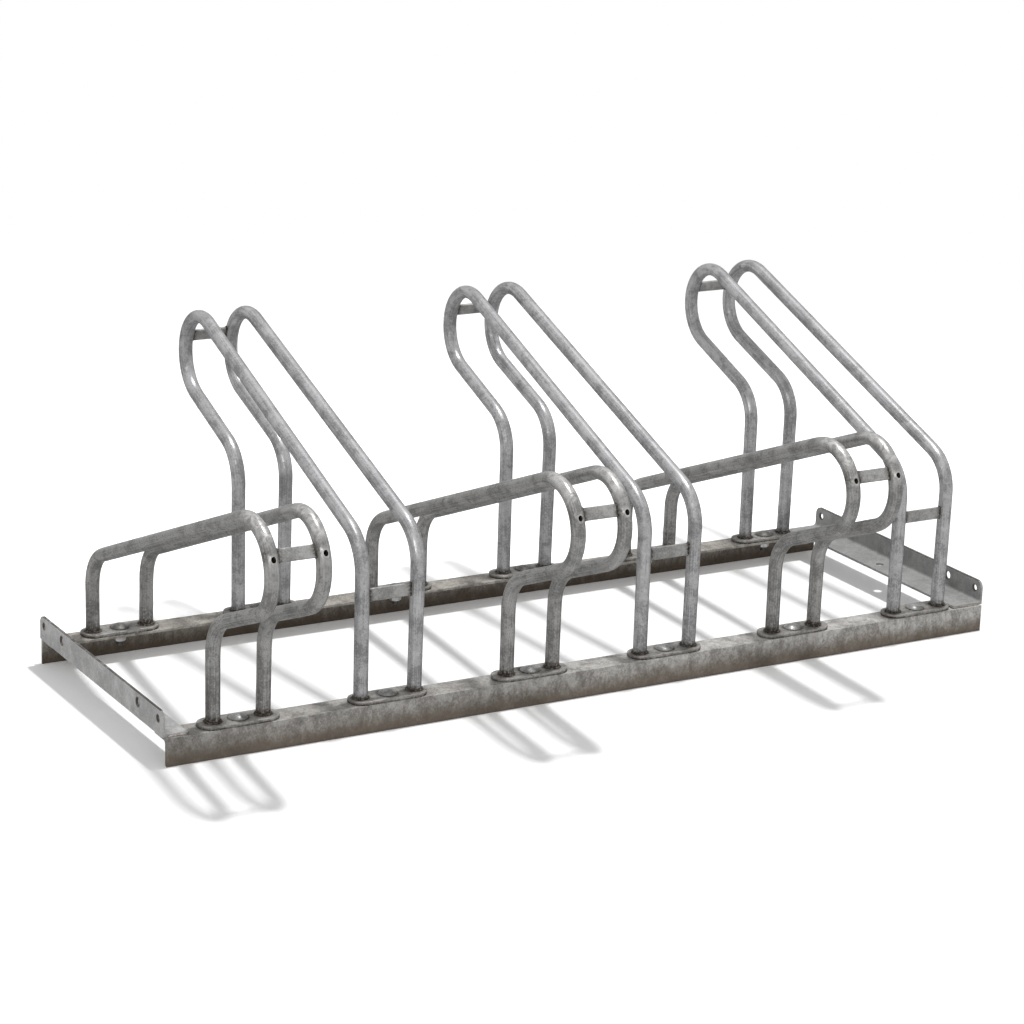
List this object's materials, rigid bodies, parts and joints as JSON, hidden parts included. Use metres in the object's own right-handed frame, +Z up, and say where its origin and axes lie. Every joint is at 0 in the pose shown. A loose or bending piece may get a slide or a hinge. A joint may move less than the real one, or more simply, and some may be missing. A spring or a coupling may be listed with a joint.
{
  "type": "floor bike rack",
  "caption": "Low two-rail floor rack with alternating low and high bent-tube wheel hoops on bolted foot plates, galvanised steel.",
  "frame": {"origin": "on the floor, in the middle of the whole rack's footprint", "axes": "+X along the rails, +Y from the front rail (under the overhanging low loops) to the rear rail, +Z up"},
  "size_m": [1.508, 0.8815, 0.5224],
  "materials": {
    "tube_zinc": "hot-dip galvanised tube, weathered, mottled light and mid grey",
    "strip_zinc": "hot-dip galvanised flat strip, weathered grey",
    "foot_plate_zinc": "hot-dip galvanised plate, dull grey with dirt in the corners",
    "rail_zinc": "hot-dip galvanised angle, dull spangle, brown stains near the floor",
    "end_bar_zinc": "hot-dip galvanised angle, blue-grey mottled",
    "bolt_zinc": "zinc-plated carriage bolt, worn bright",
    "nut_zinc": "zinc-plated hexagon nut"
  },
  "bodies": {
    "root": {"front_carriage_bolts": "bolt_zinc", "front_nuts": "nut_zinc", "front_rail": "rail_zinc", "high_hoop_1_front_foot_plate": "foot_plate_zinc", "high_hoop_1_left_tube": "tube_zinc", "high_hoop_1_loop_crossbar": "strip_zinc", "high_hoop_1_rear_foot_plate": "foot_plate_zinc", "high_hoop_1_right_tube": "tube_zinc", "high_hoop_1_stem_crossbar": "strip_zinc", "high_hoop_2_front_foot_plate": "foot_plate_zinc", "high_hoop_2_left_tube": "tube_zinc", "high_hoop_2_loop_crossbar": "strip_zinc", "high_hoop_2_rear_foot_plate": "foot_plate_zinc", "high_hoop_2_right_tube": "tube_zinc", "high_hoop_2_stem_crossbar": "strip_zinc", "high_hoop_3_front_foot_plate": "foot_plate_zinc", "high_hoop_3_left_tube": "tube_zinc", "high_hoop_3_loop_crossbar": "strip_zinc", "high_hoop_3_rear_foot_plate": "foot_plate_zinc", "high_hoop_3_right_tube": "tube_zinc", "high_hoop_3_stem_crossbar": "strip_zinc", "left_end_bar": "end_bar_zinc", "low_hoop_1_front_foot_plate": "foot_plate_zinc", "low_hoop_1_left_tube": "tube_zinc", "low_hoop_1_loop_crossbar": "strip_zinc", "low_hoop_1_rear_foot_plate": "foot_plate_zinc", "low_hoop_1_right_tube": "tube_zinc", "low_hoop_2_front_foot_plate": "foot_plate_zinc", "low_hoop_2_left_tube": "tube_zinc", "low_hoop_2_loop_crossbar": "strip_zinc", "low_hoop_2_rear_foot_plate": "foot_plate_zinc", "low_hoop_2_right_tube": "tube_zinc", "low_hoop_3_front_foot_plate": "foot_plate_zinc", "low_hoop_3_left_tube": "tube_zinc", "low_hoop_3_loop_crossbar": "strip_zinc", "low_hoop_3_rear_foot_plate": "foot_plate_zinc", "low_hoop_3_right_tube": "tube_zinc", "rear_carriage_bolts": "bolt_zinc", "rear_nuts": "nut_zinc", "rear_rail": "rail_zinc", "right_end_bar": "end_bar_zinc"}
  },
  "joints": []
}
